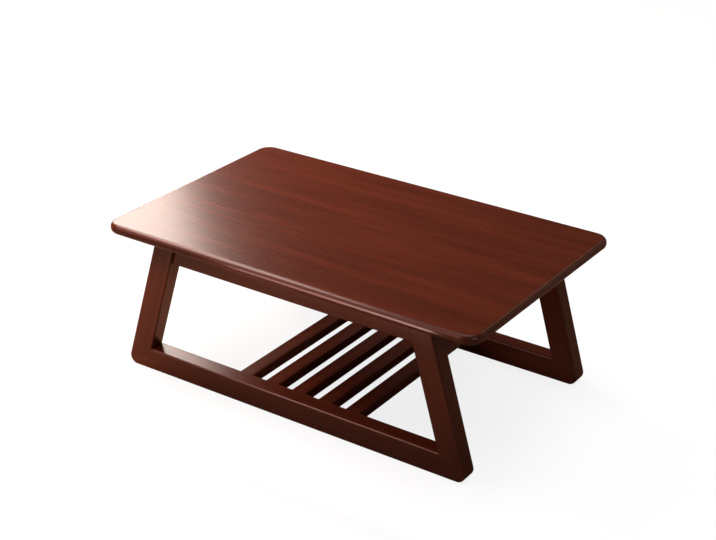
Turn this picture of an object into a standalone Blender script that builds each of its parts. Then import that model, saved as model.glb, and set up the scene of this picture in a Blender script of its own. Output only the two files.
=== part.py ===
"""Low coffee table: a round-edged top on two splayed runner frames, with a slatted shelf between them.

Metres, +Z up. X runs along the table, Y from front to rear, and the floor is at Z = 0.
"""

import math

import bmesh
import bpy
from mathutils import Matrix, Vector

# Start from an empty scene
for leftover in list(bpy.data.objects):
    bpy.data.objects.remove(leftover)

# Tabletop
TABLE_HEIGHT = 0.300
TOP_LENGTH = 0.800
TOP_WIDTH = 0.500
TOP_THICKNESS = 0.020
TOP_CORNER_RADIUS = 0.030
TOP_EDGE_LAND = 0.002

# Long-side frames: how far the top stands out past the legs, and how far each leg spreads to the floor
SIDE_OVERHANG = 0.0265
END_OVERHANG = 0.101
LEG_SPREAD = 0.0835
MEMBER_DEPTH = 0.034
LEG_WIDTH = 0.0445
RUNNER_HEIGHT = 0.0445
FOOT_RADIUS = 0.016
ARRIS_RADIUS = 0.003

# Aprons: the long ones sit back from the frames' outer faces, the short ones from the legs' outer faces
APRON_THICKNESS = 0.018
LONG_APRON_HEIGHT = 0.0415
LONG_APRON_SETBACK = 0.006
SHORT_APRON_DROP = 0.065
SHORT_APRON_SETBACK = 0.004

# Shelf: the slats lie a little below the runners' tops
SLAT_COUNT = 5
SLAT_PITCH = 0.060
SLAT_WIDTH = 0.030
SLAT_THICKNESS = 0.020
SLAT_DROP = 0.004
SLAT_ARRIS = 0.002

# Joinery
TENON_THICKNESS = 0.008
MITRE_TENON_WIDTH = 0.020
MITRE_TENON_LENGTH = 0.024
LONG_TENON_WIDTH = 0.024
LONG_TENON_LENGTH = 0.028
SHORT_TENON_WIDTH = 0.030
SHORT_TENON_LENGTH = 0.028
DOWEL_DIAMETER = 0.010
DOWEL_LENGTH = 0.036
DOWEL_END_RADIUS = 0.001

# Screws that hold the top, driven up through the long aprons
SCREWS_PER_APRON = 3
SCREW_INSET = 0.053
SCREW_DIAMETER = 0.004
SCREW_POINT = 0.006
SCREW_BITE = 0.012
HEAD_DIAMETER = 0.008
HEAD_RIM = 0.0014
HEAD_HEIGHT = 0.0028
HEAD_FLAT = 0.004
COUNTERBORE_DEPTH = 0.017
COUNTERBORE_CLEARANCE = 0.001

# Gap between pieces that touch, waste left for the saw and drill, and mesh tolerances
FIT = 0.0003
WASTE = 0.020
CHORD_ERROR = 0.0001
WELD = 0.000001
FLAT_ANGLE = math.radians(1)
SHARP_ANGLE = math.radians(30)

# Worked out from the sizes above
UNDERSIDE = TABLE_HEIGHT - TOP_THICKNESS
TOP_EDGE_RADIUS = (TOP_THICKNESS - TOP_EDGE_LAND) / 2
FOOT_X = TOP_LENGTH / 2 - END_OVERHANG + LEG_SPREAD
SPLAY = math.atan2(LEG_SPREAD, UNDERSIDE)
FRAME_Y = TOP_WIDTH / 2 - SIDE_OVERHANG - MEMBER_DEPTH / 2
INNER_FACE_Y = FRAME_Y - MEMBER_DEPTH / 2
LONG_APRON_Y = (APRON_THICKNESS - MEMBER_DEPTH) / 2 + LONG_APRON_SETBACK
LONG_APRON_Z = UNDERSIDE - LONG_APRON_HEIGHT / 2
SLAT_Z = RUNNER_HEIGHT - SLAT_DROP - SLAT_THICKNESS / 2
SCREW_SEAT = UNDERSIDE - LONG_APRON_HEIGHT + COUNTERBORE_DEPTH
SCREW_LENGTH = UNDERSIDE + SCREW_BITE - SCREW_SEAT

# Finishes: sRGB colour, roughness, metallic
RED_WALNUT_LACQUER = ("5E2A1B", 0.25, 0.0)
BARE_BEECH = ("C9A57A", 0.60, 0.0)
ZINC_PLATE = ("B9BCC0", 0.35, 1.0)

# Turns what is drawn in X and Y, and extruded along Z, so that it runs along the named axis
RUN_ALONG = {
    "X": Matrix(((0, 0, 1), (1, 0, 0), (0, 1, 0))).to_4x4(),
    "Y": Matrix.Rotation(math.pi / 2, 4, "X"),
    "Z": Matrix.Identity(4),
}

# The front of the table, and the rear, which is the front turned half round
ROWS = {"front": 0, "rear": math.pi}
ENDS = {"right": 0, "left": math.pi}


def leg_outer_x(z):
    return FOOT_X - z * math.tan(SPLAY)


def leg_inner_x(z):
    return leg_outer_x(z) - LEG_WIDTH / math.cos(SPLAY)


def spaced(count, pitch):
    """Places of a row of like pieces, centred on 0."""
    return [(number - (count - 1) / 2) * pitch for number in range(count)]


def screw_pitch():
    """Spacing that puts the end screws at their inset from the legs."""
    return 2 * (leg_inner_x(UNDERSIDE) - SCREW_INSET) / (SCREWS_PER_APRON - 1)


def corner_name(row, side):
    """Name of the corner on the row's own right (side 1) or left (side -1), seen from the front."""
    seen = side if row == "front" else -side
    return f"{row}_right" if seen > 0 else f"{row}_left"


def arc_steps(radius, turn):
    """Facets that keep an arc within the chord error."""
    return max(2, math.ceil(turn / (2 * math.acos(1 - CHORD_ERROR / radius))))


def rounded(corners):
    """Outline through corners given anticlockwise as (x, y, radius), each radius turned as an arc."""
    outline = []
    for index, (x, y, radius) in enumerate(corners):
        corner = Vector((x, y))
        if radius == 0:
            outline.append(corner)
            continue
        back = (Vector(corners[index - 1][:2]) - corner).normalized()
        ahead = (Vector(corners[(index + 1) % len(corners)][:2]) - corner).normalized()
        half_angle = back.angle(ahead) / 2
        centre = corner + (back + ahead).normalized() * radius / math.sin(half_angle)
        spoke = corner + back * radius / math.tan(half_angle) - centre
        turn = math.pi - 2 * half_angle
        steps = arc_steps(radius, turn)
        for step in range(steps + 1):
            outline.append(centre + Matrix.Rotation(turn * step / steps, 2) @ spoke)
    return [point for index, point in enumerate(outline) if (point - outline[index - 1]).length > WELD]


def rectangle(width, height, lower_radius, upper_radius):
    """Corners of a rectangle centred on the origin."""
    return [
        (-width / 2, -height / 2, lower_radius),
        (width / 2, -height / 2, lower_radius),
        (width / 2, height / 2, upper_radius),
        (-width / 2, height / 2, upper_radius),
    ]


def face_out(shape):
    """Work out the normals afresh and turn every face outwards."""
    shape.normal_update()
    bmesh.ops.recalc_face_normals(shape, faces=shape.faces)


def prism(corners, length, axis):
    """Solid with the rounded outline as its section, reaching half the length each way along the axis."""
    outline = rounded(corners)
    curve = bpy.data.curves.new("outline", "CURVE")
    curve.dimensions = "2D"
    curve.fill_mode = "BOTH"
    curve.extrude = length / 2
    spline = curve.splines.new("POLY")
    spline.points.add(len(outline) - 1)
    for point, (x, y) in zip(spline.points, outline):
        point.co = (x, y, 0, 1)
    spline.use_cyclic_u = True
    guide = bpy.data.objects.new("outline", curve)
    CUTTERS.objects.link(guide)
    mesh = bpy.data.meshes.new_from_object(guide.evaluated_get(bpy.context.evaluated_depsgraph_get()))
    bpy.data.objects.remove(guide)
    bpy.data.curves.remove(curve)
    shape = bmesh.new()
    shape.from_mesh(mesh)
    bpy.data.meshes.remove(mesh)
    bmesh.ops.remove_doubles(shape, verts=shape.verts, dist=WELD)
    bmesh.ops.dissolve_limit(shape, angle_limit=FLAT_ANGLE, verts=shape.verts, edges=shape.edges)
    shape.transform(RUN_ALONG[axis])
    face_out(shape)
    return shape


def round_rims(shape, axis, radius):
    """Round the rims of the two end faces of a shape that runs along the axis."""
    place = "XYZ".index(axis)
    rims = [edge for edge in shape.edges if abs(edge.verts[0].co[place] - edge.verts[1].co[place]) < WELD]
    steps = arc_steps(radius, math.pi / 2)
    bmesh.ops.bevel(shape, geom=rims, offset=radius, segments=steps, profile=0.5, affect="EDGES")


def saw(shape, point, waste):
    """Cut the shape at a plane through the point, and drop the side that waste points to."""
    everything = shape.verts[:] + shape.edges[:] + shape.faces[:]
    kept = bmesh.ops.bisect_plane(
        shape, geom=everything, dist=WELD, plane_co=point, plane_no=waste, clear_outer=True
    )
    rim = [item for item in kept["geom_cut"] if isinstance(item, bmesh.types.BMEdge)]
    bmesh.ops.edgeloop_fill(shape, edges=rim)


def profile_line(points):
    """Line of (radius, height) points, from top to bottom, to be turned about Z."""
    shape = bmesh.new()
    verts = [shape.verts.new((radius, 0, height)) for radius, height in points]
    for upper, lower in zip(verts, verts[1:]):
        shape.edges.new((upper, lower))
    return shape


def turn_on_lathe(obj):
    screw = obj.modifiers.new("lathe", "SCREW")
    screw.steps = arc_steps(max(vert.co.x for vert in obj.data.vertices), 2 * math.pi)
    screw.render_steps = screw.steps
    screw.use_merge_vertices = True
    screw.merge_threshold = WELD


def to_linear(colour):
    """RGBA in linear light from an sRGB hex colour."""
    channels = [int(colour[start : start + 2], 16) / 255 for start in (0, 2, 4)]
    return [c / 12.92 if c <= 0.04045 else ((c + 0.055) / 1.055) ** 2.4 for c in channels] + [1]


def add_object(name, shape, collection, parent, location, rotation):
    mesh = bpy.data.meshes.new(name)
    face_out(shape)
    shape.to_mesh(mesh)
    shape.free()
    mesh.shade_smooth()
    mesh.set_sharp_from_angle(angle=SHARP_ANGLE)
    obj = bpy.data.objects.new(name, mesh)
    collection.objects.link(obj)
    obj.parent = parent
    obj.location = location
    obj.rotation_euler = rotation
    return obj


def add_piece(name, shape, finish, parent=None, location=(0, 0, 0), rotation=(0, 0, 0)):
    """One part of the table, with a material of its own."""
    obj = add_object(name, shape, TABLE, parent, location, rotation)
    colour, roughness, metallic = finish
    material = bpy.data.materials.new(name + "_finish")
    material.use_nodes = True
    material.diffuse_color = to_linear(colour)
    shader = material.node_tree.nodes["Principled BSDF"]
    shader.inputs["Base Color"].default_value = to_linear(colour)
    shader.inputs["Roughness"].default_value = roughness
    shader.inputs["Metallic"].default_value = metallic
    obj.data.materials.append(material)
    return obj


def add_cutter(name, shape, parent=None, location=(0, 0, 0), rotation=(0, 0, 0)):
    obj = add_object(name + "_cutter", shape, CUTTERS, parent, location, rotation)
    obj.hide_render = True
    obj.display_type = "WIRE"
    return obj


def add_empty(name, location, turn):
    empty = bpy.data.objects.new(name, None)
    TABLE.objects.link(empty)
    empty.location = location
    empty.rotation_euler = (0, 0, turn)
    return empty


def cut(host, cutter):
    modifier = host.modifiers.new(cutter.name, "BOOLEAN")
    modifier.operation = "DIFFERENCE"
    modifier.solver = "EXACT"
    modifier.object = cutter


def frame_blank():
    """Legs and runner of one frame in one piece, with the arrises of both faces rounded."""
    top = UNDERSIDE + WASTE
    right_half = [
        (FOOT_X, 0, FOOT_RADIUS),
        (leg_outer_x(top), top, 0),
        (leg_inner_x(top), top, 0),
        (leg_inner_x(RUNNER_HEIGHT), RUNNER_HEIGHT, 0),
    ]
    left_half = [(-x, z, radius) for x, z, radius in reversed(right_half)]
    blank = prism(right_half + left_half, MEMBER_DEPTH, "Y")
    round_rims(blank, "Y", ARRIS_RADIUS)
    return blank


def mitre_ends(side):
    """Inner and outer end of the mitre on the right (side 1) or left (side -1) of a frame."""
    inner = Vector((side * leg_inner_x(RUNNER_HEIGHT), 0, RUNNER_HEIGHT))
    outer = Vector((side * FOOT_X, 0, 0))
    return inner, outer


def mitre_normal(side):
    """Square to the mitre, from the runner into the leg."""
    inner, outer = mitre_ends(side)
    along = (outer - inner).normalized()
    return side * Vector((-along.z, 0, along.x))


def mitre_middle(side):
    """Middle of the mitre, between its inner corner and the round of the foot."""
    inner, outer = mitre_ends(side)
    half_angle = (math.pi / 2 - SPLAY) / 2
    rounded_off = FOOT_RADIUS / math.sin(half_angle) - FOOT_RADIUS
    return (inner + outer + (inner - outer).normalized() * rounded_off) / 2


def leg_shape(side):
    """Leg sawn from the frame blank: mitred at the foot and level under the top."""
    shape = frame_blank()
    normal = mitre_normal(side)
    saw(shape, mitre_ends(side)[0] + normal * FIT / 2, -normal)
    saw(shape, Vector((0, 0, UNDERSIDE - FIT)), Vector((0, 0, 1)))
    return shape


def runner_shape():
    """Runner sawn from the frame blank between its two mitres."""
    shape = frame_blank()
    for side in (1, -1):
        normal = mitre_normal(side)
        saw(shape, mitre_ends(side)[0] - normal * FIT / 2, normal)
    return shape


def long_apron_shape():
    """Board under the long edge of the top, its ends sawn to the slope of the legs."""
    shape = prism(rectangle(APRON_THICKNESS, LONG_APRON_HEIGHT, ARRIS_RADIUS, 0), 2 * FOOT_X, "X")
    shape.transform(Matrix.Translation((0, LONG_APRON_Y, LONG_APRON_Z - FIT)))
    for side in (1, -1):
        normal = Vector((side * math.cos(SPLAY), 0, math.sin(SPLAY)))
        saw(shape, Vector((side * leg_inner_x(0), 0, 0)) - normal * FIT, normal)
    return shape


def short_apron_shape():
    """Board under the right end of the top, leaning with the legs and level along its upper edge."""
    setback = SHORT_APRON_SETBACK / math.cos(SPLAY)
    through = APRON_THICKNESS / math.cos(SPLAY)
    high = UNDERSIDE - FIT
    low = UNDERSIDE - SHORT_APRON_DROP
    lower_outer = Vector((leg_outer_x(low) - setback, low))
    lower_inner = lower_outer - APRON_THICKNESS * Vector((math.cos(SPLAY), math.sin(SPLAY)))
    corners = [
        (*lower_inner, ARRIS_RADIUS),
        (*lower_outer, ARRIS_RADIUS),
        (leg_outer_x(high) - setback, high, 0),
        (leg_outer_x(high) - setback - through, high, 0),
    ]
    return prism(corners, 2 * (INNER_FACE_Y - FIT), "Y")


def tabletop_shape():
    corners = rectangle(TOP_LENGTH, TOP_WIDTH, TOP_CORNER_RADIUS, TOP_CORNER_RADIUS)
    shape = prism(corners, TOP_THICKNESS, "Z")
    round_rims(shape, "Z", TOP_EDGE_RADIUS)
    return shape


def slat_shape():
    corners = rectangle(SLAT_WIDTH, SLAT_THICKNESS, SLAT_ARRIS, SLAT_ARRIS)
    return prism(corners, 2 * (INNER_FACE_Y - FIT), "Y")


def tenon_shape(axis, width, length, clearance):
    """Loose tenon with full-round edges, its width upright, grown on every side by the clearance."""
    thickness = TENON_THICKNESS + 2 * clearance
    corners = rectangle(thickness, width + 2 * clearance, thickness / 2, thickness / 2)
    return prism(corners, length + 2 * clearance, axis)


def dowel_shape(clearance):
    """Round peg along Y with eased ends, grown on every side by the clearance."""
    radius = DOWEL_DIAMETER / 2 + clearance
    shape = bmesh.new()
    bmesh.ops.create_cone(
        shape,
        cap_ends=True,
        segments=arc_steps(radius, 2 * math.pi),
        radius1=radius,
        radius2=radius,
        depth=DOWEL_LENGTH + 2 * clearance,
    )
    round_rims(shape, "Z", DOWEL_END_RADIUS)
    shape.transform(RUN_ALONG["Y"])
    return shape


def add_tenon(name, axis, width, length, parent, location, tilt):
    """A loose tenon. Returns the cutter for its two mortises."""
    place = (parent, location, (0, tilt, 0))
    add_piece(name, tenon_shape(axis, width, length, 0), BARE_BEECH, *place)
    return add_cutter(name, tenon_shape(axis, width, length, FIT), *place)


def add_dowel(name, location):
    """A dowel. Returns the cutter for its two holes."""
    add_piece(name, dowel_shape(0), BARE_BEECH, None, location)
    return add_cutter(name, dowel_shape(FIT), None, location)


def add_screw(name, parent, location):
    """A pan-head screw, point up. Returns the cutter for its counterbore and its hole."""
    shank = SCREW_DIAMETER / 2
    head = HEAD_DIAMETER / 2
    screw_line = [
        (0, SCREW_LENGTH),
        (shank, SCREW_LENGTH - SCREW_POINT),
        (shank, 0),
        (head, 0),
        (head, -HEAD_RIM),
        (HEAD_FLAT / 2, -HEAD_HEIGHT),
        (0, -HEAD_HEIGHT),
    ]
    hole = shank + FIT
    bore = head + COUNTERBORE_CLEARANCE
    drill_line = [
        (0, SCREW_LENGTH + FIT),
        (hole, SCREW_LENGTH + FIT),
        (hole, FIT),
        (bore, FIT),
        (bore, -COUNTERBORE_DEPTH - WASTE),
        (0, -COUNTERBORE_DEPTH - WASTE),
    ]
    turn_on_lathe(add_piece(name, profile_line(screw_line), ZINC_PLATE, parent, location))
    drill = add_cutter(name, profile_line(drill_line), parent, location)
    turn_on_lathe(drill)
    return drill


def add_frame(row, top):
    """Legs, runner and long apron of one long side. Returns the runner, and the legs by name."""
    facing = ROWS[row]
    frame = add_empty(row + "_frame", Matrix.Rotation(facing, 3, "Z") @ Vector((0, -FRAME_Y, 0)), facing)
    runner = add_piece(row + "_runner", runner_shape(), RED_WALNUT_LACQUER, frame)
    apron = add_piece(row + "_long_apron", long_apron_shape(), RED_WALNUT_LACQUER, frame)
    legs = {}
    for side in (1, -1):
        corner = corner_name(row, side)
        leg = add_piece(corner + "_leg", leg_shape(side), RED_WALNUT_LACQUER, frame)
        normal = mitre_normal(side)
        mitre_mortise = add_tenon(
            corner + "_mitre_tenon",
            "X",
            MITRE_TENON_WIDTH,
            MITRE_TENON_LENGTH,
            frame,
            mitre_middle(side),
            math.atan2(-normal.z, normal.x),
        )
        apron_mortise = add_tenon(
            corner + "_long_apron_tenon",
            "X",
            LONG_TENON_WIDTH,
            LONG_TENON_LENGTH,
            frame,
            (side * leg_inner_x(LONG_APRON_Z), LONG_APRON_Y, LONG_APRON_Z),
            0,
        )
        cut(runner, mitre_mortise)
        cut(apron, apron_mortise)
        cut(leg, mitre_mortise)
        cut(leg, apron_mortise)
        legs[corner] = leg
    for number, x in enumerate(spaced(SCREWS_PER_APRON, screw_pitch()), 1):
        drill = add_screw(f"{row}_top_screw_{number}", frame, (x, LONG_APRON_Y, SCREW_SEAT - FIT))
        cut(apron, drill)
        cut(top, drill)
    return runner, legs


def add_short_apron(end, legs):
    """Cross rail under one end of the top, tenoned into the front and the rear leg there."""
    parent = add_empty(end + "_end", (0, 0, 0), ENDS[end])
    apron = add_piece(end + "_short_apron", short_apron_shape(), RED_WALNUT_LACQUER, parent)
    middle_z = UNDERSIDE - SHORT_APRON_DROP / 2
    middle_x = leg_outer_x(middle_z) - (SHORT_APRON_SETBACK + APRON_THICKNESS / 2) / math.cos(SPLAY)
    for row in ROWS:
        corner = f"{row}_{end}"
        seen_as_front = (row == "front") == (end == "right")
        y = -INNER_FACE_Y if seen_as_front else INNER_FACE_Y
        mortise = add_tenon(
            corner + "_short_apron_tenon",
            "Y",
            SHORT_TENON_WIDTH,
            SHORT_TENON_LENGTH,
            parent,
            (middle_x, y, middle_z),
            -SPLAY,
        )
        cut(apron, mortise)
        cut(legs[corner], mortise)


def add_slat(number, x, runners):
    """One bar of the shelf, doweled into both runners."""
    slat = add_piece(f"slat_{number}", slat_shape(), RED_WALNUT_LACQUER, None, (x, 0, SLAT_Z))
    for row, y in (("front", -INNER_FACE_Y), ("rear", INNER_FACE_Y)):
        hole = add_dowel(f"{row}_slat_dowel_{number}", (x, y, SLAT_Z))
        cut(slat, hole)
        cut(runners[row], hole)


# One collection for the table and one for what cuts it
TABLE = bpy.data.collections.new("coffee_table")
CUTTERS = bpy.data.collections.new("cutters")
for collection in (TABLE, CUTTERS):
    bpy.context.scene.collection.children.link(collection)

tabletop = add_piece(
    "tabletop", tabletop_shape(), RED_WALNUT_LACQUER, None, (0, 0, TABLE_HEIGHT - TOP_THICKNESS / 2)
)
all_runners, all_legs = {}, {}
for row_name in ROWS:
    all_runners[row_name], row_legs = add_frame(row_name, tabletop)
    all_legs.update(row_legs)
for end_name in ENDS:
    add_short_apron(end_name, all_legs)
for slat_number, slat_x in enumerate(spaced(SLAT_COUNT, SLAT_PITCH), 1):
    add_slat(slat_number, slat_x, all_runners)
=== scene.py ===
"""Low coffee table in red walnut lacquer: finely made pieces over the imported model, in a white studio.

Metres, +Z up. X runs along the table, Y from front to rear, and the floor is at Z = 0.
"""

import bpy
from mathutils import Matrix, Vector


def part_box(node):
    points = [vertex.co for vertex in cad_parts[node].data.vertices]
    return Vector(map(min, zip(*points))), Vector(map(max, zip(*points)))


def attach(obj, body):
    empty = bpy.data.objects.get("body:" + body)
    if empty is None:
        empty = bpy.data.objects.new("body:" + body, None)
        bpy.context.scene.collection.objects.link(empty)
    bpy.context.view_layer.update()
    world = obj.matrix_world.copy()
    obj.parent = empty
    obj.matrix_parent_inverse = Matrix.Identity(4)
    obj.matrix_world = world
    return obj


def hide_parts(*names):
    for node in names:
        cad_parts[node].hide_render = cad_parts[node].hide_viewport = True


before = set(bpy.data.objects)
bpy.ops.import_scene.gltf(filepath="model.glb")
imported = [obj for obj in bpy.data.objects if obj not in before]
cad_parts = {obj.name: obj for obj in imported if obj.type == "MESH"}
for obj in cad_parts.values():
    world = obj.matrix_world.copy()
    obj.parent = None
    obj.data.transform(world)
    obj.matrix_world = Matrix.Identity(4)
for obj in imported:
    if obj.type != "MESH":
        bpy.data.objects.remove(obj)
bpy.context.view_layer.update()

import math
from types import SimpleNamespace

import bmesh
import bpy
from bpy.props import FloatProperty, FloatVectorProperty, PointerProperty
from mathutils import Matrix, Vector

bl_info = {
    "name": "Low Coffee Table",
    "version": (1, 0, 0),
    "blender": (4, 5, 0),
    "location": "3D View > Sidebar > Coffee Table",
    "description": "Makes a lacquered low coffee table over its packed model, piece by piece",
    "category": "Object",
}

# How far a facet may lie inside a true arc, and how close two points are one
CHORD_ERROR = 0.00001
WELD = 0.000001
SHARP_ANGLE = math.radians(30)

# Glue line between lacquered pieces, room round hidden joinery, and what the saw and drill run past
GLUE_LINE = 0.00005
POCKET_ROOM = 0.0003
WASTE = 0.020

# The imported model's own names
ROWS = ("front", "rear")
ENDS = ("left", "right")
SIDE = {"left": -1, "right": 1}
SLATS = sorted(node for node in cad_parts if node.startswith("slat_"))
SCREWS = sorted(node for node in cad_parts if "_top_screw_" in node)
TENONS = sorted(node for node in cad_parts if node.endswith("_tenon"))
DOWELS = sorted(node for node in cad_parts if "_slat_dowel_" in node)

# Turns what is drawn in X and Y, and extruded along Z, so that it runs along the named axis
RUN_ALONG = {
    "X": Matrix(((0, 0, 1), (1, 0, 0), (0, 1, 0))).to_4x4(),
    "Y": Matrix.Rotation(math.pi / 2, 4, "X"),
    "Z": Matrix.Identity(4),
}

# Facets of a screw: round its head, round its thread and rows in a turn
HEAD_STEPS = 6
SCREW_COLUMNS = 24
THREAD_ROWS = 6

# Shares: half a thread's ridge of a turn, a screw's blunt tip of its core, and a recess's bottom of its mouth
THREAD_HALF_WIDTH = 0.35
TIP_SHARE = 0.06
RECESS_BOTTOM = 0.6

# Camera of the photograph's view: place, turn in degrees, lens and sensor in millimetres, and how far it sees
CAMERA_PLACE = (1.49388, -2.20864, 1.49763)
CAMERA_TURN = (64.31738, -0.57285, 34.28517)
LENS = 79.35893
SENSOR_WIDTH = 36
FAR_CLIP = 200

# Paper sweep: radius of the floor, round into the wall and height of the wall, then the facets of the round, and
# how much of the paper is plain white
SWEEP = (30.0, 6.0, 16.0)
SWEEP_STEPS = 16
WHITE_SHARE = 0.84

# Lamps that face one point of the table: name, place, width, height, radiance, colour and the rays that leave
# them out
AIM = Vector((0, 0, 0.2))
SOFT_BOXES = (
    ("overhead_soft_box", (0.0, 0.0, 3.0), 2.0, 2.0, 1.1, "FFFFFF", ()),
    ("back_left_soft_box", (-2.28, 1.30, 1.45), 1.2, 1.3, 8.1, "FFF1E6", ()),
    ("left_soft_box", (-1.0, -0.27, 1.5), 1.5, 0.6, 8.2, "FFE2DA", ()),
    ("low_left_soft_box", (-1.6, 0.35, 0.75), 1.0, 0.6, 10.5, "FFEAE2", ("glossy",)),
    ("low_front_soft_box", (-0.62, -0.87, 0.31), 0.62, 0.32, 6.0, "FFE2DA", ("glossy",)),
    ("edge_strip", (0.04, -0.35, 0.246), 0.48, 0.044, 8.5, "FFCDC6", ("diffuse",)),
    ("front_sheet", (-0.95, -1.7, 1.05), 1.6, 1.5, 1.4, "FFD2C4", ("diffuse",)),
    ("rear_sheet", (0.8, 2.6, 2.25), 1.8, 0.7, 0.9, "FFC4A4", ("diffuse",)),
    ("right_soft_box", (2.4, -0.8, 1.3), 1.2, 1.2, 1.0, "FFFFFF", ()),
    ("back_right_soft_box", (1.5, 2.6, 0.8), 1.6, 1.5, 0.3, "FFD0B4", ()),
)

# Sun that falls on the paper alone: its strength and its spread
FLOOR_SUN = (2.2, math.radians(50))

# Felt cards that hold the low front lamp back from the runner and from the left of the top's edge: place in Y, left
# and right, bottom and top, and the rays that leave them out
FLAGS = (
    ("runner_flag", -0.42, (-0.36, 0.40), (0.0, 0.145), ("camera", "diffuse", "glossy", "transmission")),
    ("edge_flag", -0.33, (-0.55, -0.22), (0.24, 0.318), ("camera", "diffuse", "transmission")),
)

# Brown floor that the lacquer mirrors: its radius, how far it lies over the paper, and its facets
MIRRORED_FLOOR = (6.0, 0.0002, 64)

# Patch of light on that floor, under the left end of the top: its lamp's place, size, radiance and colour
FLOOR_PATCH = ((-0.23, -0.05, 0.12), 0.2, 3.5, "FFD2C0")

# Room: its brightness along the horizon and overhead, and the rises between which the one fades into the other
ROOM_GLOW = (0.13, 0.034)
ROOM_FADE = (0.05, 0.30)


def linear(hex_colour):
    """Linear RGBA of an sRGB hex colour."""
    channels = [int(hex_colour[start : start + 2], 16) / 255 for start in (0, 2, 4)]
    return [c / 12.92 if c <= 0.04045 else ((c + 0.055) / 1.055) ** 2.4 for c in channels] + [1]


def length(name, description, default):
    """Size in metres that a user may change."""
    return FloatProperty(name=name, description=description, default=default, min=0, unit="LENGTH", precision=5)


def colour(name, description, default):
    """Colour, given in sRGB hex, that a user may change."""
    return FloatVectorProperty(
        name=name, description=description, default=linear(default), size=4, min=0, max=1, subtype="COLOR"
    )


class TableSizes(bpy.types.PropertyGroup):
    """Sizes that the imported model's boxes don't give."""

    corner_radius: length("Corner radius", "Round of the top's corners, seen from above", 0.030)
    edge_land: length("Edge land", "Flat left between the two rounds of the top's edge", 0.002)
    end_overhang: length("End overhang", "How far the top stands out past the legs' heads", 0.101)
    leg_spread: length("Leg spread", "How far each leg spreads on its way to the floor", 0.0835)
    leg_width: length("Leg width", "Width of a leg, square to its slope", 0.0445)
    foot_radius: length("Foot radius", "Round of the outer corner where leg and runner meet", 0.016)
    arris_radius: length("Arris radius", "Eased edge of legs, runners and aprons", 0.003)
    slat_arris: length("Slat arris", "Eased edge of the shelf slats", 0.002)
    short_apron_thickness: length("Short apron thickness", "Thickness of the cross rails under the ends", 0.018)
    short_apron_setback: length("Short apron setback", "How far the cross rails sit inside the legs", 0.004)
    short_apron_drop: length("Short apron drop", "Reach of the cross rails below the top", 0.065)
    screw_core: length("Screw core", "Diameter of a screw between its threads", 0.0028)
    screw_diameter: length("Screw diameter", "Diameter of a screw over its threads", 0.004)
    screw_pitch: length("Screw pitch", "Rise of a screw's thread in one turn", 0.002)
    screw_point: length("Screw point", "Length of a screw's tapered point", 0.006)
    head_diameter: length("Head diameter", "Diameter of a screw's pan head", 0.008)
    head_height: length("Head height", "Height of a screw's pan head", 0.0028)
    recess_width: length("Recess width", "Width of one arm of the cross recess", 0.0009)
    recess_span: length("Recess span", "Length of the cross recess over both arms", 0.0046)
    recess_depth: length("Recess depth", "Depth of the cross recess", 0.0016)
    bore_room: length("Counterbore room", "Gap between a screw's head and its counterbore", 0.001)


class TableFinish(bpy.types.PropertyGroup):
    """Colours of the wood, the screws and the studio."""

    stain_dark: colour("Dark stain", "Red walnut stain in the dense streaks", "562312")
    stain_light: colour("Light stain", "Red walnut stain in the open streaks", "682D19")
    pore: colour("Pores", "Stain gathered in the wood's pores", "33120A")
    beech: colour("Beech", "Bare beech of the hidden tenons and dowels", "CBA77C")
    beech_fleck: colour("Beech fleck", "Short brown flecks in the beech", "A87C50")
    zinc: colour("Zinc", "Bright zinc plate of the screws", "B9BCC0")
    paper: colour("Paper", "White paper of the studio floor", "FAFAFA")
    bounce: colour("Floor bounce", "Floor as the light sees it that bounces on to the table", "606060")
    boards: colour("Floor boards", "Brown floor that only the lacquer mirrors", "957059")


def plan(context):
    """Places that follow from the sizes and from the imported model."""
    size = context.scene.table_sizes
    top_low, top_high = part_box("tabletop")
    runner_low, runner_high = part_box("front_runner")
    foot_x = top_high.x - size.end_overhang + size.leg_spread
    splay = math.atan2(size.leg_spread, top_low.z)

    def outer_x(z):
        return foot_x - z * math.tan(splay)

    def inner_x(z):
        return outer_x(z) - size.leg_width / math.cos(splay)

    return SimpleNamespace(
        size=size,
        top_low=top_low,
        top_high=top_high,
        underside=top_low.z,
        runner_height=runner_high.z,
        member_depth=runner_high.y - runner_low.y,
        frame_y={"front": (runner_low.y + runner_high.y) / 2, "rear": -(runner_low.y + runner_high.y) / 2},
        inner_face_y=-runner_high.y,
        foot_x=foot_x,
        splay=splay,
        outer_x=outer_x,
        inner_x=inner_x,
    )


def arc_steps(radius, turn):
    """Facets that keep an arc within the chord error."""
    return max(3, math.ceil(turn / (2 * math.acos(1 - CHORD_ERROR / radius))))


def rounded(corners):
    """Outline through corners given anticlockwise as (x, y, radius), each radius turned as an arc."""
    outline = []
    for index, (x, y, radius) in enumerate(corners):
        corner = Vector((x, y))
        if radius == 0:
            outline.append(corner)
            continue
        back = (Vector(corners[index - 1][:2]) - corner).normalized()
        ahead = (Vector(corners[(index + 1) % len(corners)][:2]) - corner).normalized()
        half_angle = back.angle(ahead) / 2
        centre = corner + (back + ahead).normalized() * radius / math.sin(half_angle)
        spoke = corner + back * radius / math.tan(half_angle) - centre
        turn = math.pi - 2 * half_angle
        steps = arc_steps(radius, turn)
        for step in range(steps + 1):
            outline.append(centre + Matrix.Rotation(turn * step / steps, 2) @ spoke)
    return [point for index, point in enumerate(outline) if (point - outline[index - 1]).length > WELD]


def rectangle(low, high, lower_radius, upper_radius):
    """Corners of the rectangle between two opposite corners."""
    return [
        (low[0], low[1], lower_radius),
        (high[0], low[1], lower_radius),
        (high[0], high[1], upper_radius),
        (low[0], high[1], upper_radius),
    ]


def face_out(shape):
    """Work out the normals afresh and turn every face outwards."""
    shape.normal_update()
    bmesh.ops.recalc_face_normals(shape, faces=shape.faces)


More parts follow.
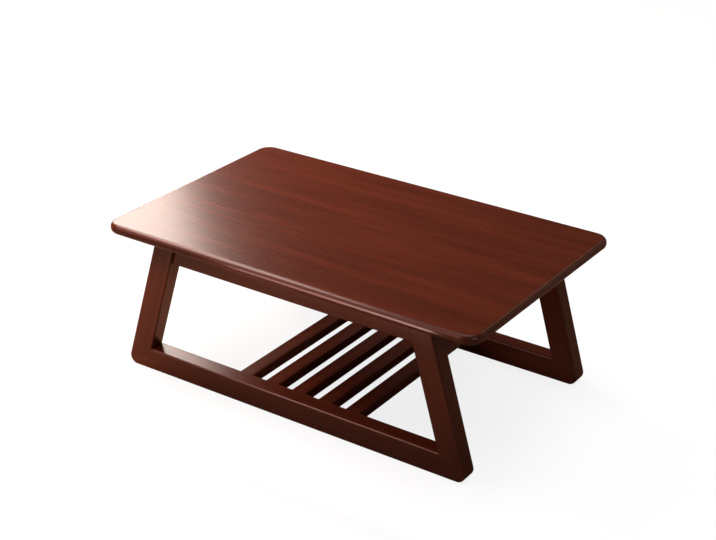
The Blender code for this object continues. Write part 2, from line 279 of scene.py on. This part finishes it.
def slab(corners, depth, axis):
    """Solid with the rounded outline as its section, reaching half the depth each way along the axis."""
    shape = bmesh.new()
    face = shape.faces.new([shape.verts.new((x, y, -depth / 2)) for x, y in rounded(corners)])
    grown = bmesh.ops.extrude_face_region(shape, geom=[face])
    raised = [item for item in grown["geom"] if isinstance(item, bmesh.types.BMVert)]
    bmesh.ops.translate(shape, vec=(0, 0, depth), verts=raised)
    shape.transform(RUN_ALONG[axis])
    face_out(shape)
    return shape


def round_rims(shape, axis, radius):
    """Round the rims of the two end faces of a shape that runs along the axis."""
    place = "XYZ".index(axis)
    rims = [edge for edge in shape.edges if abs(edge.verts[0].co[place] - edge.verts[1].co[place]) < WELD]
    steps = arc_steps(radius, math.pi / 2)
    bmesh.ops.bevel(shape, geom=rims, offset=radius, segments=steps, profile=0.5, affect="EDGES")


def saw(shape, point, waste):
    """Cut the shape at a plane through the point, and drop the side that waste points to."""
    everything = shape.verts[:] + shape.edges[:] + shape.faces[:]
    kept = bmesh.ops.bisect_plane(
        shape, geom=everything, dist=WELD, plane_co=point, plane_no=waste, clear_outer=True
    )
    rim = [item for item in kept["geom_cut"] if isinstance(item, bmesh.types.BMEdge)]
    bmesh.ops.edgeloop_fill(shape, edges=rim)


def lathe(profile, steps):
    """Solid turned about Z from (radius, height) points that start and end on the axis."""
    shape = bmesh.new()
    verts = [shape.verts.new((radius, 0, height)) for radius, height in profile]
    edges = [shape.edges.new(pair) for pair in zip(verts, verts[1:])]
    bmesh.ops.spin(
        shape, geom=verts + edges, axis=(0, 0, 1), cent=(0, 0, 0), steps=steps, angle=2 * math.pi
    )
    bmesh.ops.remove_doubles(shape, verts=shape.verts, dist=WELD)
    face_out(shape)
    return shape


def new_object(name, shape, matrix=Matrix.Identity(4)):
    """Object at the matrix, whose mesh holds the shape that was made in the table's frame."""
    shape.transform(matrix.inverted())
    face_out(shape)
    mesh = bpy.data.meshes.new(name)
    shape.to_mesh(mesh)
    shape.free()
    obj = bpy.data.objects.new(name, mesh)
    bpy.context.scene.collection.objects.link(obj)
    obj.matrix_world = matrix
    return obj


def pocket(node):
    """Cutter that leaves room round a hidden CAD piece."""
    shape = bmesh.new()
    shape.from_mesh(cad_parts[node].data)
    bmesh.ops.remove_doubles(shape, verts=shape.verts, dist=WELD)
    bmesh.ops.dissolve_limit(shape, angle_limit=math.radians(1), verts=shape.verts, edges=shape.edges)
    shape.normal_update()
    moves = [(vert, vert.normal * POCKET_ROOM * vert.calc_shell_factor()) for vert in shape.verts]
    for vert, move in moves:
        vert.co += move
    return new_object(node + "_pocket", shape)


def drill(place, node):
    """Cutter for a screw's counterbore, from below, and for its hole."""
    size = place.size
    low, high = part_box(node)
    hole = size.screw_diameter / 2 + POCKET_ROOM
    bore = size.head_diameter / 2 + size.bore_room
    seat = low.z + size.head_height + POCKET_ROOM
    profile = [
        (0, high.z + POCKET_ROOM),
        (hole, high.z + POCKET_ROOM),
        (hole, seat),
        (bore, seat),
        (bore, low.z - WASTE),
        (0, low.z - WASTE),
    ]
    shape = lathe(profile, arc_steps(bore, 2 * math.pi))
    shape.transform(Matrix.Translation(((low.x + high.x) / 2, (low.y + high.y) / 2, 0)))
    return new_object(node + "_drill", shape)


def hollow(obj, cutters):
    """Cut the cutters out of the object for good, and throw them away."""
    for cutter in cutters:
        modifier = obj.modifiers.new(cutter.name, "BOOLEAN")
        modifier.operation = "DIFFERENCE"
        modifier.solver = "EXACT"
        modifier.object = cutter
    bpy.context.view_layer.update()
    whole = obj.data
    obj.data = bpy.data.meshes.new_from_object(obj.evaluated_get(bpy.context.evaluated_depsgraph_get()))
    obj.modifiers.clear()
    bpy.data.meshes.remove(whole)
    obj.data.name = obj.name
    for cutter in cutters:
        mesh = cutter.data
        bpy.data.objects.remove(cutter)
        bpy.data.meshes.remove(mesh)


def smooth(obj):
    """Shade rounds smooth into their flats, with the flats kept flat."""
    obj.data.shade_smooth()
    obj.data.set_sharp_from_angle(angle=SHARP_ANGLE)
    obj.modifiers.new("flat faces stay flat", "WEIGHTED_NORMAL").keep_sharp = True


def dress(node, shape, grain, cutters, finish):
    """Stand a finely made wooden piece in for a CAD node, with its middle and grain given by a matrix."""
    obj = new_object("lacquered_" + node, shape, Matrix.Translation(grain.translation))
    hollow(obj, cutters)
    smooth(obj)
    obj.data.materials.clear()
    obj.data.materials.append(finish)
    # Places in a stretch of wood of the piece's own, with the first number along the grain
    upright = grain.to_3x3().inverted()
    places = [upright @ vert.co + grain.translation for vert in obj.data.vertices]
    attribute = obj.data.attributes.new("grain", "FLOAT_VECTOR", "POINT")
    attribute.data.foreach_set("vector", [number for place in places for number in place])
    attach(obj, "root")
    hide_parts(node)
    return obj


def frame_blank(place, row):
    """Legs and runner of one frame in one piece, with the arrises of both faces rounded."""
    top = place.underside + WASTE
    right_half = [
        (place.foot_x, 0, place.size.foot_radius),
        (place.outer_x(top), top, 0),
        (place.inner_x(top), top, 0),
        (place.inner_x(place.runner_height), place.runner_height, 0),
    ]
    left_half = [(-x, z, radius) for x, z, radius in reversed(right_half)]
    blank = slab(right_half + left_half, place.member_depth, "Y")
    round_rims(blank, "Y", place.size.arris_radius)
    blank.transform(Matrix.Translation((0, place.frame_y[row], 0)))
    return blank


def mitre(place, side):
    """Inner end of a mitre, and the direction square to it from the runner into the leg."""
    inner = Vector((side * place.inner_x(place.runner_height), 0, place.runner_height))
    along = (Vector((side * place.foot_x, 0, 0)) - inner).normalized()
    return inner, side * Vector((-along.z, 0, along.x))


def lean(place, side):
    """Rotation whose X climbs a leg and whose Y stays level."""
    climb = Vector((-side * math.sin(place.splay), 0, math.cos(place.splay)))
    level = Vector((0, 1, 0))
    return Matrix((climb, level, climb.cross(level))).transposed().to_4x4()


def add_node(tree, kind, inputs=(), **settings):
    """Add a node with its settings, and set or link its inputs by name or place."""
    node = tree.nodes.new(kind)
    for name, value in settings.items():
        setattr(node, name, value)
    for socket, value in dict(inputs).items():
        if isinstance(value, bpy.types.NodeSocket):
            tree.links.new(value, node.inputs[socket])
        else:
            node.inputs[socket].default_value = value
    return node


def new_material(name):
    """Material with only a Principled BSDF and its output."""
    material = bpy.data.materials.new(name)
    material.use_nodes = True
    return material, material.node_tree, material.node_tree.nodes["Principled BSDF"]


def red_walnut_lacquer(finish):
    """Close-grained hardwood, planed, stained red walnut and sprayed with semi-gloss lacquer.

    It gives the eye a deep red brown with long soft streaks, hair-fine fibres and dark pores, all
    under a smooth film that mirrors lamps and windows softly.
    """
    name = "red_walnut_lacquer"
    if name in bpy.data.materials:
        return bpy.data.materials[name]
    material, tree, shader = new_material(name)
    stretch = add_node(tree, "ShaderNodeAttribute", attribute_name="grain").outputs["Vector"]

    # Each pattern's name, its size along and across the grain in millimetres, its detail and its distortion
    patterns = {}
    for pattern, along, across, detail, distortion in (
        # Streaks of growth lie 24 mm apart
        ("streaks", 320, 24, 2.0, 0.4),
        # Fibres are drawn 1.4 mm apart, coarser than they are, so that they show
        ("fibres", 70, 1.4, 2.0, 0.2),
        # Pores are 0.15 mm wide on the real wood, and drawn 0.6 mm wide so that they show
        ("pores", 11, 0.6, 0.0, 0.0),
    ):
        shrink = (1000 / along, 1000 / across, 1000 / across)
        scaled = add_node(tree, "ShaderNodeVectorMath", {0: stretch, 1: shrink}, operation="MULTIPLY").outputs[0]
        noise = {"Vector": scaled, "Scale": 1.0, "Detail": detail, "Distortion": distortion}
        patterns[pattern] = add_node(tree, "ShaderNodeTexNoise", noise).outputs["Fac"]

    # Each use of a pattern: the share of it that is used, and the range that this becomes
    uses = {}
    for use, pattern, low, high, to_low, to_high in (
        ("open wood", "streaks", 0.30, 0.70, 0.0, 1.0),
        ("fibre shade", "fibres", 0.30, 0.70, 0.972, 1.028),
        ("film roughness", "fibres", 0.30, 0.70, 0.220, 0.230),
        ("pore", "pores", 0.62, 0.70, 0.0, 1.0),
    ):
        ranges = {"Value": patterns[pattern], "From Min": low, "From Max": high, "To Min": to_low, "To Max": to_high}
        uses[use] = add_node(tree, "ShaderNodeMapRange", ranges).outputs[0]

    stain = add_node(
        tree,
        "ShaderNodeMix",
        {0: uses["open wood"], 6: finish.stain_dark, 7: finish.stain_light},
        data_type="RGBA",
    ).outputs[2]
    fibred = add_node(
        tree,
        "ShaderNodeMix",
        {0: 1.0, 6: stain, 7: uses["fibre shade"]},
        data_type="RGBA",
        blend_type="MULTIPLY",
    ).outputs[2]
    pore_share = add_node(tree, "ShaderNodeMath", {0: uses["pore"], 1: 0.24}, operation="MULTIPLY").outputs[0]
    wood = add_node(
        tree, "ShaderNodeMix", {0: pore_share, 6: fibred, 7: finish.pore}, data_type="RGBA"
    ).outputs[2]
    tree.links.new(wood, shader.inputs["Base Color"])
    tree.links.new(uses["film roughness"], shader.inputs["Roughness"])
    shader.inputs["IOR"].default_value = 1.5
    return material


def bare_beech(finish):
    """Steamed beech, milled and left bare.

    It gives the eye a pale pinkish tan without shine, sprinkled with short brown flecks.
    """
    material, tree, shader = new_material("milled_beech")
    place = add_node(tree, "ShaderNodeTexCoord").outputs["Object"]
    # Flecks are 2.5 mm long and 0.5 mm wide
    scaled = add_node(tree, "ShaderNodeVectorMath", {0: place, 1: (400, 2000, 2000)}, operation="MULTIPLY")
    flecks = add_node(tree, "ShaderNodeTexNoise", {"Vector": scaled.outputs[0], "Scale": 1.0, "Detail": 1.0})
    share = add_node(
        tree, "ShaderNodeMapRange", {"Value": flecks.outputs["Fac"], "From Min": 0.52, "From Max": 0.70}
    )
    tan = add_node(
        tree, "ShaderNodeMix", {0: share.outputs[0], 6: finish.beech, 7: finish.beech_fleck}, data_type="RGBA"
    )
    relief = add_node(
        tree, "ShaderNodeBump", {"Height": flecks.outputs["Fac"], "Strength": 0.5, "Distance": 0.00003}
    )
    tree.links.new(tan.outputs[2], shader.inputs["Base Color"])
    tree.links.new(relief.outputs[0], shader.inputs["Normal"])
    shader.inputs["Roughness"].default_value = 0.65
    return material


def zinc_plate(finish):
    """Steel, cold headed and rolled, then zinc plated.

    It gives the eye a bright cool grey, clouded here and there where the plate is thin.
    """
    material, tree, shader = new_material("bright_zinc_plate")
    place = add_node(tree, "ShaderNodeTexCoord").outputs["Object"]
    # Clouds in the plate are about 1.5 mm across
    clouds = add_node(tree, "ShaderNodeTexNoise", {"Vector": place, "Scale": 650.0, "Detail": 3.0}).outputs["Fac"]
    shade = add_node(
        tree, "ShaderNodeMapRange", {"Value": clouds, "From Min": 0.3, "From Max": 0.7, "To Min": 0.82, "To Max": 1.0}
    )
    grey = add_node(
        tree,
        "ShaderNodeMix",
        {0: 1.0, 6: finish.zinc, 7: shade.outputs[0]},
        data_type="RGBA",
        blend_type="MULTIPLY",
    )
    rough = add_node(
        tree, "ShaderNodeMapRange", {"Value": clouds, "From Min": 0.3, "From Max": 0.7, "To Min": 0.42, "To Max": 0.26}
    )
    tree.links.new(grey.outputs[2], shader.inputs["Base Color"])
    tree.links.new(rough.outputs[0], shader.inputs["Roughness"])
    shader.inputs["Metallic"].default_value = 1.0
    return material


def white_paper(finish):
    """Seamless paper, rolled out matt and white.

    It gives the eye a plain pale floor that is nearly white and still holds the table's soft shadow.
    For light that bounces on to the table it is dimmer, as a wooden floor is.
    """
    material, tree, shader = new_material("seamless_white_paper")
    path = add_node(tree, "ShaderNodeLightPath").outputs
    mirrored = add_node(
        tree, "ShaderNodeMath", {0: path["Is Glossy Ray"], 1: path["Is Transmission Ray"]}, operation="MAXIMUM"
    ).outputs[0]
    seen = add_node(
        tree, "ShaderNodeMath", {0: path["Is Camera Ray"], 1: mirrored}, operation="MAXIMUM"
    ).outputs[0]
    # Fibre clouds in the pulp, 4 mm across
    place = add_node(tree, "ShaderNodeTexCoord").outputs["Object"]
    pulp = add_node(tree, "ShaderNodeTexNoise", {"Vector": place, "Scale": 250.0, "Detail": 2.0}).outputs["Fac"]
    relief = add_node(tree, "ShaderNodeBump", {"Height": pulp, "Strength": 0.2, "Distance": 0.0001}).outputs[0]
    white = add_node(tree, "ShaderNodeEmission", {"Color": (1, 1, 1, 1), "Strength": 1.0}).outputs[0]
    dim = add_node(tree, "ShaderNodeBsdfDiffuse", {"Color": finish.bounce}).outputs[0]
    pale = add_node(tree, "ShaderNodeMixShader", {0: WHITE_SHARE, 1: shader.outputs[0], 2: white}).outputs[0]
    mix = add_node(tree, "ShaderNodeMixShader", {0: seen, 1: dim, 2: pale}).outputs[0]
    tree.links.new(relief, shader.inputs["Normal"])
    tree.links.new(mix, tree.nodes["Material Output"].inputs["Surface"])
    shader.inputs["Base Color"].default_value = finish.paper
    shader.inputs["Roughness"].default_value = 0.9
    shader.inputs["Specular IOR Level"].default_value = 0.0
    return material


def black_felt():
    """Wool felt, pressed and dyed black.

    It gives the eye next to nothing, only the dark line along the left of the top's edge.
    """
    name = "black_felt"
    if name in bpy.data.materials:
        return bpy.data.materials[name]
    material, tree, shader = new_material(name)
    place = add_node(tree, "ShaderNodeTexCoord").outputs["Object"]
    # Tufts of wool are 2 mm across
    tufts = add_node(tree, "ShaderNodeTexNoise", {"Vector": place, "Scale": 500.0, "Detail": 2.0}).outputs["Fac"]
    black = add_node(
        tree, "ShaderNodeMix", {0: tufts, 6: linear("050505"), 7: linear("161616")}, data_type="RGBA"
    ).outputs[2]
    tree.links.new(black, shader.inputs["Base Color"])
    shader.inputs["Roughness"].default_value = 1.0
    shader.inputs["Specular IOR Level"].default_value = 0.0
    return material


def floor_boards(finish):
    """Softwood boards, sanded and oiled.

    They give the eye a plain warm brown, seen only as a faint glow in the lacquer.
    """
    material, tree, shader = new_material("oiled_boards")
    place = add_node(tree, "ShaderNodeTexCoord").outputs["Object"]
    # Boards are 120 mm wide
    scaled = add_node(tree, "ShaderNodeVectorMath", {0: place, 1: (0.5, 8.3, 1.0)}, operation="MULTIPLY").outputs[0]
    tones = add_node(tree, "ShaderNodeTexNoise", {"Vector": scaled, "Scale": 1.0, "Detail": 2.0}).outputs["Fac"]
    shade = add_node(
        tree, "ShaderNodeMapRange", {"Value": tones, "From Min": 0.3, "From Max": 0.7, "To Min": 0.9, "To Max": 1.1}
    ).outputs[0]
    brown = add_node(
        tree, "ShaderNodeMix", {0: 1.0, 6: finish.boards, 7: shade}, data_type="RGBA", blend_type="MULTIPLY"
    ).outputs[2]
    tree.links.new(brown, shader.inputs["Base Color"])
    shader.inputs["Roughness"].default_value = 0.7
    return material


def screw_shape(size, whole_length):
    """Pan-head screw standing on its head: a rounded head, a helical thread and a tapered point."""
    core, crest = size.screw_core / 2, size.screw_diameter / 2
    head, rim, flat = size.head_diameter / 2, size.head_height / 2, size.head_diameter / 4
    rings = [(flat, 0.0, 0.0)]
    for step in range(1, HEAD_STEPS + 1):
        angle = math.pi / 2 * step / HEAD_STEPS
        rings.append((flat + (head - flat) * math.sin(angle), rim * (1 - math.cos(angle)), 0.0))
    rings += [(head, size.head_height, 0.0), (core, size.head_height, 0.0)]
    start, end = size.head_height + size.screw_pitch / 2, whole_length - size.screw_point
    rows = math.ceil((whole_length - start) / size.screw_pitch * THREAD_ROWS)
    for row in range(rows + 1):
        z = start + (whole_length - start) * row / rows
        taper = min(1.0, max(TIP_SHARE, (whole_length - z) / (whole_length - end)))
        grow = min(1.0, (z - start) / size.screw_pitch)
        rings.append((core * taper, z, (crest - core) * min(taper, grow)))
    shape = bmesh.new()
    loops = []
    for radius, z, thread in rings:
        loop = []
        for column in range(SCREW_COLUMNS):
            share = column / SCREW_COLUMNS
            phase = (z / size.screw_pitch - share) % 1
            reach = radius + thread * max(0.0, 1 - abs(phase - 0.5) / THREAD_HALF_WIDTH)
            angle = 2 * math.pi * share
            loop.append(shape.verts.new((reach * math.cos(angle), reach * math.sin(angle), z)))
        loops.append(loop)
    for below, above in zip(loops, loops[1:]):
        for column in range(SCREW_COLUMNS):
            beside = (column + 1) % SCREW_COLUMNS
            shape.faces.new((below[column], below[beside], above[beside], above[column]))
    shape.faces.new(list(reversed(loops[0])))
    shape.faces.new(loops[-1])
    return shape


def recess_arm(size, turn):
    """Cutter for one arm of the cross recess, narrower towards its bottom."""
    shape = bmesh.new()
    bmesh.ops.create_cube(shape, size=1)
    for vert in shape.verts:
        inwards = RECESS_BOTTOM if vert.co.z > 0 else 1.0
        vert.co.x *= size.recess_span * inwards
        vert.co.y *= size.recess_width
        vert.co.z *= 2 * size.recess_depth
    shape.transform(Matrix.Rotation(turn, 4, "Z"))
    return new_object("recess_arm", shape)


def hide_from(obj, *rays):
    """Leave the object out of the named kinds of rays."""
    for kind in rays:
        setattr(obj, "visible_" + kind, False)


def add_soft_box(name, place, width, tall, radiance, tint, left_out):
    """Area lamp of that radiance at the place, facing the table, that the rays left out don't see."""
    lamp = bpy.data.lights.new(name, "AREA")
    lamp.shape = "RECTANGLE"
    lamp.size, lamp.size_y = width, tall
    lamp.energy = radiance * math.pi * width * tall
    lamp.color = linear(tint)[:3]
    obj = bpy.data.objects.new(name, lamp)
    bpy.context.scene.collection.objects.link(obj)
    obj.location = place
    hide_from(obj, "camera", *left_out)
    obj.rotation_euler = (obj.location - AIM).to_track_quat("Z", "Y").to_euler()


def light_only(lamp, lit):
    """Let the lamp fall on one object and on nothing else."""
    lamp.light_linking.receiver_collection = bpy.data.collections.new("lit_by_" + lamp.name)
    lamp.light_linking.receiver_collection.objects.link(lit)


def add_floor_sun(floor):
    """Soft light from straight above that falls on the floor alone, and draws the table's shadow there."""
    lamp = bpy.data.lights.new("floor_sun", "SUN")
    lamp.energy, lamp.angle = FLOOR_SUN
    obj = bpy.data.objects.new("floor_sun", lamp)
    bpy.context.scene.collection.objects.link(obj)
    light_only(obj, floor)


def add_floor_patch(boards):
    """Light that has come in low under the left end of the top, and lies on the mirrored floor alone."""
    place, size, radiance, tint = FLOOR_PATCH
    lamp = bpy.data.lights.new("floor_patch", "AREA")
    lamp.size = size
    lamp.energy = radiance * math.pi * size**2
    lamp.color = linear(tint)[:3]
    obj = bpy.data.objects.new("floor_patch", lamp)
    bpy.context.scene.collection.objects.link(obj)
    obj.location = place
    hide_from(obj, "camera", "glossy")
    light_only(obj, boards)


def room_light(scene):
    """Dim room with a pale band along the horizon, for the edges to mirror."""
    world = bpy.data.worlds.new("dim_room")
    world.use_nodes = True
    scene.world = world
    tree = world.node_tree
    way = add_node(tree, "ShaderNodeTexCoord").outputs["Generated"]
    rise = add_node(tree, "ShaderNodeSeparateXYZ", {0: way}).outputs["Z"]
    lift = add_node(tree, "ShaderNodeMath", {0: rise}, operation="ABSOLUTE").outputs[0]
    (low, high), (horizon, overhead) = ROOM_FADE, ROOM_GLOW
    glow = add_node(
        tree,
        "ShaderNodeMapRange",
        {"Value": lift, "From Min": low, "From Max": high, "To Min": horizon, "To Max": overhead},
        interpolation_type="SMOOTHSTEP",
    )
    tree.links.new(glow.outputs[0], tree.nodes["Background"].inputs["Color"])


class COFFEE_TABLE_OT_tabletop(bpy.types.Operator):
    """Make the top: one board with rounded corners and a round edge"""

    bl_idname = "coffee_table.tabletop"
    bl_label = "Tabletop"

    def execute(self, context):
        place = plan(context)
        low, high, corner = place.top_low, place.top_high, place.size.corner_radius
        thickness = high.z - low.z
        shape = slab(rectangle(low.xy, high.xy, corner, corner), thickness, "Z")
        round_rims(shape, "Z", (thickness - place.size.edge_land) / 2)
        middle = Matrix.Translation((0, 0, (low.z + high.z) / 2))
        shape.transform(middle)
        holes = [drill(place, node) for node in SCREWS]
        dress("tabletop", shape, middle, holes, red_walnut_lacquer(context.scene.table_finish))
        return {"FINISHED"}


class COFFEE_TABLE_OT_legs(bpy.types.Operator):
    """Make the four splayed legs, mitred at the foot and level under the top"""

    bl_idname = "coffee_table.legs"
    bl_label = "Legs"

    def execute(self, context):
        place = plan(context)
        for row in ROWS:
            for end in ENDS:
                corner = row + "_" + end
                inner, into_leg = mitre(place, SIDE[end])
                shape = frame_blank(place, row)
                saw(shape, inner + into_leg * GLUE_LINE / 2, -into_leg)
                saw(shape, Vector((0, 0, place.underside - GLUE_LINE)), Vector((0, 0, 1)))
                half_way = place.underside / 2
                middle_x = SIDE[end] * (place.outer_x(half_way) + place.inner_x(half_way)) / 2
                grain = Matrix.Translation((middle_x, place.frame_y[row], half_way)) @ lean(place, SIDE[end])
                mortises = [pocket(node) for node in TENONS if node.startswith(corner)]
                finish = red_walnut_lacquer(context.scene.table_finish)
                dress(corner + "_leg", shape, grain, mortises, finish)
        return {"FINISHED"}


class COFFEE_TABLE_OT_runners(bpy.types.Operator):
    """Make the two floor rails that meet the legs in a mitre"""

    bl_idname = "coffee_table.runners"
    bl_label = "Runners"

    def execute(self, context):
        place = plan(context)
        for row in ROWS:
            shape = frame_blank(place, row)
            for end in ENDS:
                inner, into_leg = mitre(place, SIDE[end])
                saw(shape, inner - into_leg * GLUE_LINE / 2, into_leg)
            grain = Matrix.Translation((0, place.frame_y[row], place.runner_height / 2))
            joinery = [node for node in TENONS if node.startswith(row) and "mitre" in node]
            joinery += [node for node in DOWELS if node.startswith(row)]
            finish = red_walnut_lacquer(context.scene.table_finish)
            dress(row + "_runner", shape, grain, [pocket(node) for node in joinery], finish)
        return {"FINISHED"}


class COFFEE_TABLE_OT_long_aprons(bpy.types.Operator):
    """Make the two rails under the long edges, set back behind the legs and bored for the screws"""

    bl_idname = "coffee_table.long_aprons"
    bl_label = "Long aprons"

    def execute(self, context):
        place = plan(context)
        for row in ROWS:
            node = row + "_long_apron"
            low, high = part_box(node)
            high.z = place.underside - GLUE_LINE
            middle = (low + high) / 2
            corners = rectangle((low.y, low.z), (high.y, high.z), place.size.arris_radius, 0)
            shape = slab(corners, 2 * place.foot_x, "X")
            for end in ENDS:
                out = Vector((SIDE[end] * math.cos(place.splay), 0, math.sin(place.splay)))
                shoulder = Vector((SIDE[end] * place.inner_x(0), 0, 0))
                saw(shape, shoulder - out * GLUE_LINE, out)
            cutters = [pocket(tenon) for tenon in TENONS if tenon.startswith(row) and "long_apron" in tenon]
            cutters += [drill(place, screw) for screw in SCREWS if screw.startswith(row)]
            finish = red_walnut_lacquer(context.scene.table_finish)
            dress(node, shape, Matrix.Translation((0, middle.y, middle.z)), cutters, finish)
        return {"FINISHED"}


class COFFEE_TABLE_OT_short_aprons(bpy.types.Operator):
    """Make the two cross rails under the ends, leaning with the legs"""

    bl_idname = "coffee_table.short_aprons"
    bl_label = "Short aprons"

    def execute(self, context):
        place = plan(context)
        size = place.size
        setback = size.short_apron_setback / math.cos(place.splay)
        through = size.short_apron_thickness / math.cos(place.splay)
        high = place.underside - GLUE_LINE
        low = place.underside - size.short_apron_drop
        lower_outer = Vector((place.outer_x(low) - setback, low))
        lower_inner = lower_outer - size.short_apron_thickness * Vector((math.cos(place.splay), math.sin(place.splay)))
        right_hand = [
            (*lower_inner, size.arris_radius),
            (*lower_outer, size.arris_radius),
            (place.outer_x(high) - setback, high, 0),
            (place.outer_x(high) - setback - through, high, 0),
        ]
        for end in ENDS:
            corners = right_hand
            if end == "left":
                corners = [(-x, z, radius) for x, z, radius in reversed(right_hand)]
            shape = slab(corners, 2 * (place.inner_face_y - GLUE_LINE), "Y")
            half_way = (low + high) / 2
            middle = Vector((SIDE[end] * (place.outer_x(half_way) - setback - through / 2), 0, half_way))
            grain = Matrix.Translation(middle) @ lean(place, SIDE[end]) @ Matrix.Rotation(math.pi / 2, 4, "Z")
            mortises = [pocket(node) for node in TENONS if end in node and "short_apron" in node]
            finish = red_walnut_lacquer(context.scene.table_finish)
            dress(end + "_short_apron", shape, grain, mortises, finish)
        return {"FINISHED"}


class COFFEE_TABLE_OT_slats(bpy.types.Operator):
    """Make the shelf slats between the runners"""

    bl_idname = "coffee_table.slats"
    bl_label = "Slats"

    def execute(self, context):
        place = plan(context)
        arris = place.size.slat_arris
        for node in SLATS:
            low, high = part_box(node)
            middle = (low + high) / 2
            half = (high - low) / 2
            shape = slab(
                rectangle((-half.x, -half.z), (half.x, half.z), arris, arris),
                2 * (place.inner_face_y - GLUE_LINE),
                "Y",
            )
            shape.transform(Matrix.Translation(middle))
            grain = Matrix.Translation(middle) @ Matrix.Rotation(math.pi / 2, 4, "Z")
            number = node.rsplit("_", 1)[1]
            holes = [pocket(dowel) for dowel in DOWELS if dowel.endswith("_" + number)]
            dress(node, shape, grain, holes, red_walnut_lacquer(context.scene.table_finish))
        return {"FINISHED"}


class COFFEE_TABLE_OT_joinery(bpy.types.Operator):
    """Finish the hidden tenons and dowels in bare beech"""

    bl_idname = "coffee_table.joinery"
    bl_label = "Tenons and dowels"

    def execute(self, context):
        beech = bare_beech(context.scene.table_finish)
        for node in TENONS + DOWELS:
            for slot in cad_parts[node].material_slots:
                slot.material = beech
        return {"FINISHED"}


class COFFEE_TABLE_OT_screws(bpy.types.Operator):
    """Make the six pan-head screws that hold the top from below"""

    bl_idname = "coffee_table.screws"
    bl_label = "Top screws"

    def execute(self, context):
        size = context.scene.table_sizes
        zinc = zinc_plate(context.scene.table_finish)
        low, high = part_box(SCREWS[0])
        pattern = new_object("zinc_" + SCREWS[0], screw_shape(size, high.z - low.z))
        hollow(pattern, [recess_arm(size, turn) for turn in (0, math.pi / 2)])
        smooth(pattern)
        pattern.data.materials.clear()
        pattern.data.materials.append(zinc)
        for node in SCREWS:
            low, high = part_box(node)
            screw = pattern
            if node != SCREWS[0]:
                screw = pattern.copy()
                screw.name = "zinc_" + node
                bpy.context.scene.collection.objects.link(screw)
            screw.location = ((low.x + high.x) / 2, (low.y + high.y) / 2, low.z)
            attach(screw, "root")
            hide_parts(node)
        return {"FINISHED"}


class COFFEE_TABLE_OT_stage(bpy.types.Operator):
    """Set up the white floor, what the lacquer mirrors, the lamps and the camera"""

    bl_idname = "coffee_table.stage"
    bl_label = "Stage"

    def execute(self, context):
        scene = context.scene
        scene.view_settings.view_transform = "Standard"
        radius, bend, wall = SWEEP
        profile = [(0, 0)]
        for step in range(SWEEP_STEPS + 1):
            angle = math.pi / 2 * step / SWEEP_STEPS
            profile.append((radius + bend * math.sin(angle), bend * (1 - math.cos(angle))))
        profile.append((radius + bend, wall))
        floor = new_object("paper_sweep", lathe(profile, 4 * SWEEP_STEPS))
        floor.data.shade_smooth()
        floor.data.materials.append(white_paper(scene.table_finish))
        # White paper would veil the lacquer, so it mirrors brown boards in the paper's place
        hide_from(floor, "glossy")
        radius, lift, facets = MIRRORED_FLOOR
        disc = bmesh.new()
        bmesh.ops.create_circle(
            disc, cap_ends=True, segments=facets, radius=radius, matrix=Matrix.Translation((0, 0, lift))
        )
        boards = new_object("mirrored_boards", disc)
        boards.data.materials.append(floor_boards(scene.table_finish))
        hide_from(boards, "camera", "diffuse", "transmission", "shadow")
        for name, y, (left, right), (bottom, top), left_out in FLAGS:
            card = bmesh.new()
            corners = ((left, y, bottom), (right, y, bottom), (right, y, top), (left, y, top))
            card.faces.new([card.verts.new(corner) for corner in corners])
            flag = new_object(name, card)
            flag.data.materials.append(black_felt())
            hide_from(flag, *left_out)
        for soft_box in SOFT_BOXES:
            add_soft_box(*soft_box)
        add_floor_sun(floor)
        add_floor_patch(boards)
        room_light(scene)
        camera = bpy.data.cameras.new("camera")
        camera.sensor_width = SENSOR_WIDTH
        camera.lens = LENS
        camera.clip_end = FAR_CLIP
        scene.camera = bpy.data.objects.new("camera", camera)
        scene.collection.objects.link(scene.camera)
        scene.camera.location = CAMERA_PLACE
        scene.camera.rotation_euler = [math.radians(turn) for turn in CAMERA_TURN]
        return {"FINISHED"}


class COFFEE_TABLE_PT_pieces(bpy.types.Panel):
    """Lists the makers of the pieces, and the sizes and colours they use"""

    bl_label = "Coffee Table"
    bl_idname = "COFFEE_TABLE_PT_pieces"
    bl_space_type = "VIEW_3D"
    bl_region_type = "UI"
    bl_category = "Coffee Table"

    def draw(self, context):
        for maker in MAKERS:
            self.layout.operator(maker.bl_idname)
        for group in (context.scene.table_sizes, context.scene.table_finish):
            column = self.layout.column(align=True)
            for name in group.__annotations__:
                column.prop(group, name)


MAKERS = (
    COFFEE_TABLE_OT_tabletop,
    COFFEE_TABLE_OT_legs,
    COFFEE_TABLE_OT_runners,
    COFFEE_TABLE_OT_long_aprons,
    COFFEE_TABLE_OT_short_aprons,
    COFFEE_TABLE_OT_slats,
    COFFEE_TABLE_OT_joinery,
    COFFEE_TABLE_OT_screws,
    COFFEE_TABLE_OT_stage,
)
CLASSES = (TableSizes, TableFinish, *MAKERS, COFFEE_TABLE_PT_pieces)


def register():
    for cls in CLASSES:
        bpy.utils.register_class(cls)
    bpy.types.Scene.table_sizes = PointerProperty(type=TableSizes)
    bpy.types.Scene.table_finish = PointerProperty(type=TableFinish)


def unregister():
    del bpy.types.Scene.table_finish
    del bpy.types.Scene.table_sizes
    for cls in reversed(CLASSES):
        bpy.utils.unregister_class(cls)


def main():
    register()
    bpy.ops.coffee_table.tabletop()
    bpy.ops.coffee_table.legs()
    bpy.ops.coffee_table.runners()
    bpy.ops.coffee_table.long_aprons()
    bpy.ops.coffee_table.short_aprons()
    bpy.ops.coffee_table.slats()
    bpy.ops.coffee_table.joinery()
    bpy.ops.coffee_table.screws()
    bpy.ops.coffee_table.stage()


if __name__ == "__main__":
    main()
